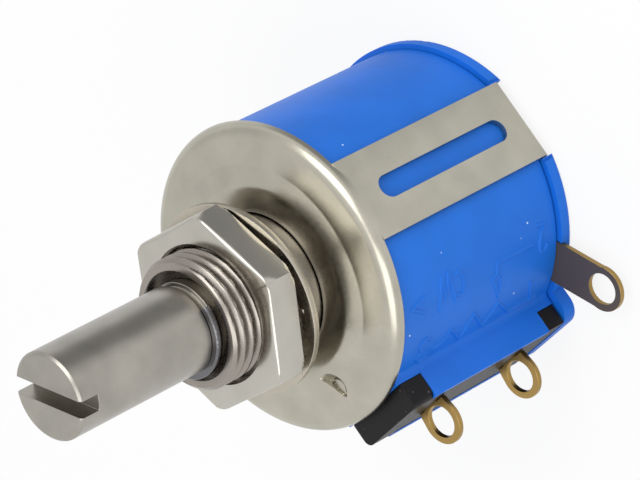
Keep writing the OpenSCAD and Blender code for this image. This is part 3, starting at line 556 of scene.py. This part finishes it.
# each stroke is a list of (height z, arc s) points; s runs round the housing from +X, below 0 towards the boss
strokes = {
    "figureTwo": [(-16.75, -9.04), (-16.62, -9.25), (-16.40, -9.42), (-16.14, -9.42), (-15.98, -9.15),
                  (-15.95, -8.73), (-16.13, -8.06), (-16.58, -7.36), (-15.86, -7.28)],
    "tapLine": [(-15.18, -8.50), (-11.45, -8.38), (-11.42, -9.28)],
    "tapArrow": [(-11.42, -9.28), (-10.94, -9.46), (-11.76, -11.29), (-11.79, -9.72), (-11.42, -9.28)],
    "resistor": [(-16.4, -13.3), (-13.4, -13.3), (-11.84, -11.75), (-10.62, -13.3), (-9.32, -11.54),
                 (-8.26, -13.35), (-6.90, -11.79), (-6.49, -12.52), (-5.40, -12.82)],
    "figureOne": [(-15.25, -11.5), (-15.75, -13.3)],
    "figureThree": [(-4.80, -13.15), (-4.50, -13.38), (-4.05, -13.38), (-3.78, -13.05), (-3.85, -12.65),
                    (-4.25, -12.42), (-3.82, -12.20), (-3.72, -11.80), (-4.00, -11.45), (-4.45, -11.42),
                    (-4.80, -11.70)],
    "letterC": [(-7.20, -7.62), (-7.50, -7.48), (-7.86, -7.80), (-8.03, -8.45), (-7.94, -9.05),
                (-7.60, -9.30), (-7.15, -9.05)],
    "letterW": [(-7.10, -9.60), (-6.50, -7.22), (-6.15, -9.00), (-5.80, -7.26), (-5.42, -9.66)],
    "arrow": [(-3.95, -7.95), (-2.66, -8.45), (-3.95, -9.15)],
}


def strokeDistance(z, s, lines):
    # distance from every grid point to the nearest stretch of any line
    near = np.full(z.shape, np.inf)
    for line in lines:
        ends = np.array(line)
        for a, b in zip(ends[:-1], ends[1:]):
            run = b - a
            t = np.clip(((z - a[0]) * run[0] + (s - a[1]) * run[1]) / (run @ run), 0, 1)
            near = np.minimum(near, np.hypot(z - a[0] - t * run[0], s - a[1] - t * run[1]))
    return near


def mouldedMarks(lines, m):
    # a patch of the housing's skin raised by a soft ridge wherever a stroke passes, kept only where it shows
    z, arc = np.meshgrid(np.arange(m["low"], m["high"], m["step"]),
                         np.arange(m["arcFrom"], m["arcTo"], m["step"]), indexing="ij")
    near = strokeDistance(z, arc, lines) / m["halfWidth"]
    ridge = (1 - near ** 2).clip(0) ** 1.5
    radius = bodyR - m["sunk"] + (m["height"] + m["sunk"]) * ridge
    angle = arc / bodyR
    outside = np.stack([radius * np.cos(angle), radius * np.sin(angle), z], axis=-1).reshape(-1, 3)
    deepR = bodyR - m["depth"]
    inside = np.stack([deepR * np.cos(angle), deepR * np.sin(angle), z], axis=-1).reshape(-1, 3)
    quads = np.array(gridFaces(*z.shape, closeCols=False))
    quads = quads[(ridge.reshape(-1)[quads] > 0).any(axis=1)]
    # walls stand on the edges that only one kept quad has
    sides = np.concatenate([quads[:, [k, (k + 1) % 4]] for k in range(4)])
    _, at, counts = np.unique(np.sort(sides, axis=1), axis=0, return_index=True, return_counts=True)
    border = sides[at[counts == 1]]
    n = len(outside)
    walls = np.column_stack([border[:, 1], border[:, 0], border[:, 0] + n, border[:, 1] + n])
    faces = np.concatenate([quads, quads[:, ::-1] + n, walls])
    used, flat = np.unique(faces, return_inverse=True)
    points = np.vstack([outside, inside])[used]
    return meshPiece("housing_marks", points, flat.reshape(faces.shape).tolist(), smoothAngle=60)


marksPiece = mouldedMarks(strokes.values(), marks)
marksPiece.data.materials.append(bluePlastic)
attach(marksPiece, "frame")
print("marks made")

blockLow, blockHigh = cornersOf("terminal_block")
valley = {"bossX": blockHigh.x, "round": 0.60, "low": -17.74, "high": -1.75, "points": 9, "levels": 9,
          "behindX": 0.15, "behindY": 0.75}


def valleyFillet(v, side):
    # hollow quarter between the round wall and the boss: an arc that touches both, closed behind inside them
    ballX = v["bossX"] + v["round"]
    ballY = -sqrt((bodyR + v["round"]) ** 2 - ballX ** 2)
    a = np.linspace(atan2(-ballY, -ballX), pi, v["points"])
    arc = np.stack([ballX + v["round"] * np.cos(a), ballY + v["round"] * np.sin(a)], axis=1)
    behind = np.array([[v["bossX"] - v["behindX"], ballY], [v["bossX"] - v["behindX"], ballY + v["behindY"]]])
    section = np.vstack([arc, behind])
    section[:, 0] *= side
    levels = np.linspace(v["low"], v["high"], v["levels"])
    points = np.array([np.column_stack([section, np.full(len(section), z)]) for z in levels])
    count = len(section)
    faces = gridFaces(len(levels), count)
    faces += [list(range(count))[::-1], list(range((len(levels) - 1) * count, len(levels) * count))]
    name = "valley_right" if side > 0 else "valley_left"
    return meshPiece(name, points.reshape(-1, 3), faces, smoothAngle=50)


for side in (1, -1):
    filletPiece = valleyFillet(valley, side)
    filletPiece.data.materials.append(bluePlastic)
    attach(filletPiece, "frame")
print("valleys filled")


def smoothStep(nodes, links, source, low, high):
    step = nodes.new("ShaderNodeMapRange")
    step.interpolation_type = "SMOOTHSTEP"
    step.inputs["From Min"].default_value = low
    step.inputs["From Max"].default_value = high
    links.new(source, step.inputs["Value"])
    return step.outputs["Result"]


def seenShare(nodes, links, cameraShare, mirrorShare):
    # one number for what the camera sees, one for what reflections and glass see, nothing for other light
    rays = nodes.new("ShaderNodeLightPath").outputs
    mirror = mathNode(nodes, links, "MAXIMUM", rays["Is Glossy Ray"], rays["Is Transmission Ray"])
    mirrored = mathNode(nodes, links, "MULTIPLY", mirror, mirrorShare)
    return mathNode(nodes, links, "MULTIPLY_ADD", rays["Is Camera Ray"], cameraShare, mirrored)


def plainGlow(nodes, strength):
    glow = nodes.new("ShaderNodeEmission")
    glow.inputs["Strength"].default_value = strength
    return glow.outputs["Emission"]


def mixedShaders(nodes, links, share, first, second):
    mix = nodes.new("ShaderNodeMixShader")
    links.new(share, mix.inputs["Fac"])
    links.new(first, mix.inputs[1])
    links.new(second, mix.inputs[2])
    return mix.outputs["Shader"]


# the grey keys set a painted shade on the floor that only reflections see
floorSpec = {"under": 0.01, "half": 3000.0, "colour": 0.88, "roughness": 0.9, "cameraShare": 0.85,
             "mirrorShare": 0.45, "shadeTowardsDeg": 50.0, "shadeCos": (0.72, 1.0), "shadeOut": (14.0, 34.0),
             "grey": 0.62}


def floorWhite(f):
    # white as it is seen, with the shadow on it; in reflections only, a painted shade makes it greyer towards
    # one side of the object
    material, nodes, links = newMaterial("floorWhite")
    shader = nodes["Principled BSDF"]
    shader.inputs["Base Color"].default_value = (f["colour"],) * 3 + (1,)
    shader.inputs["Roughness"].default_value = f["roughness"]
    shader.inputs["Specular IOR Level"].default_value = 0.0
    share = seenShare(nodes, links, f["cameraShare"], f["mirrorShare"])
    lit = mixedShaders(nodes, links, share, shader.outputs["BSDF"], plainGlow(nodes, 1.0))
    place = nodes.new("ShaderNodeTexCoord").outputs["Object"]
    level = vectorNode(nodes, links, "MULTIPLY", place, (1, 1, 0))
    outwards = vectorNode(nodes, links, "NORMALIZE", level)
    shadeAngle = radians(f["shadeTowardsDeg"])
    towardsGrey = vectorNode(nodes, links, "DOT_PRODUCT", outwards, (cos(shadeAngle), sin(shadeAngle), 0))
    distance = vectorNode(nodes, links, "LENGTH", place)
    shadeSector = mathNode(nodes, links, "MULTIPLY", smoothStep(nodes, links, towardsGrey, *f["shadeCos"]),
                      smoothStep(nodes, links, distance, *[d * mm for d in f["shadeOut"]]))
    # painted shade: reflections see the floor greyer in this sector
    paintedShade = mathNode(nodes, links, "MULTIPLY", shadeSector, seenShare(nodes, links, 0.0, f["grey"]))
    dimmed = mixedShaders(nodes, links, paintedShade, lit, plainGlow(nodes, 0.0))
    links.new(dimmed, nodes["Material Output"].inputs["Surface"])
    return material


def floorPiece(f):
    # one large square just under the part
    h = f["half"] * mm
    z = cadBounds[0][2] - f["under"] * mm
    mesh = bpy.data.meshes.new("floor")
    mesh.from_pydata([(-h, -h, z), (h, -h, z), (h, h, z), (-h, h, z)], [], [(0, 1, 2, 3)])
    mesh.materials.append(floorWhite(f))
    return linkedObject("floor", mesh)


floor = floorPiece(floorSpec)

# the studio is white low down and greyer high up on one side, as a room is beyond the lamps
studio = {"light": 0.68, "greySide": (-0.30, 0.95, 0.0), "greySideCos": (0.2, 0.95), "greyHeight": (0.12, 0.5),
          "grey": 0.25}


def studioWorld(w):
    # what is seen is white less the grey, and all other rays get the studio's light
    world = bpy.data.worlds.new("studio")
    world.use_nodes = True
    nodes, links = world.node_tree.nodes, world.node_tree.links
    background = nodes["Background"]
    background.inputs["Color"].default_value = (1, 1, 1, 1)
    place = nodes.new("ShaderNodeTexCoord").outputs["Generated"]
    parts = nodes.new("ShaderNodeSeparateXYZ")
    links.new(place, parts.inputs["Vector"])
    towardsGrey = vectorNode(nodes, links, "DOT_PRODUCT", place, w["greySide"])
    grey = mathNode(nodes, links, "MULTIPLY", smoothStep(nodes, links, towardsGrey, *w["greySideCos"]),
                    smoothStep(nodes, links, parts.outputs["Z"], *w["greyHeight"]))
    white = mathNode(nodes, links, "MULTIPLY_ADD", grey, -w["grey"], 1.0)
    strength = nodes.new("ShaderNodeMix")
    strength.data_type = "FLOAT"
    strength.inputs["A"].default_value = w["light"]
    links.new(white, strength.inputs["B"])
    links.new(seenShare(nodes, links, 1.0, 1.0), strength.inputs["Factor"])
    links.new(strength.outputs["Result"], background.inputs["Strength"])
    return world


scene.world = studioWorld(studio)

# soft square lamps: direction towards the lamp, distance, width and power in watts
lamps = {
    "keyLamp": {"towards": (0.527, 0.412, 0.743), "distance": 400, "size": 290, "power": 0.64},
    "fillLamp": {"towards": (0.31, -0.53, 0.79), "distance": 400, "size": 290, "power": 0.44},
}
for name, lamp in lamps.items():
    light = bpy.data.lights.new(name, "AREA")
    light.size = lamp["size"] * mm
    light.energy = lamp["power"]
    towards = Vector(lamp["towards"]).normalized()
    lampItem = linkedObject(name, light)
    lampItem.location = towards * lamp["distance"] * mm
    lampItem.rotation_euler = towards.to_track_quat("Z", "Y").to_euler()

camera = {"place": (202.188, -38.650, 167.310), "turnDeg": (-28.5412, 42.8397, -49.7574), "lens": 218.23,
          "sensor": 36, "clipFrom": 5, "clipTo": 10000}
cameraData = bpy.data.cameras.new("camera")
cameraData.lens = camera["lens"]
cameraData.sensor_width = camera["sensor"]
cameraData.clip_start = camera["clipFrom"] * mm
cameraData.clip_end = camera["clipTo"] * mm
cameraItem = linkedObject("camera", cameraData)
cameraItem.location = Vector(camera["place"]) * mm
cameraItem.rotation_euler = Euler([radians(a) for a in camera["turnDeg"]], "XYZ")
scene.camera = cameraItem
print("stage, light and camera set")
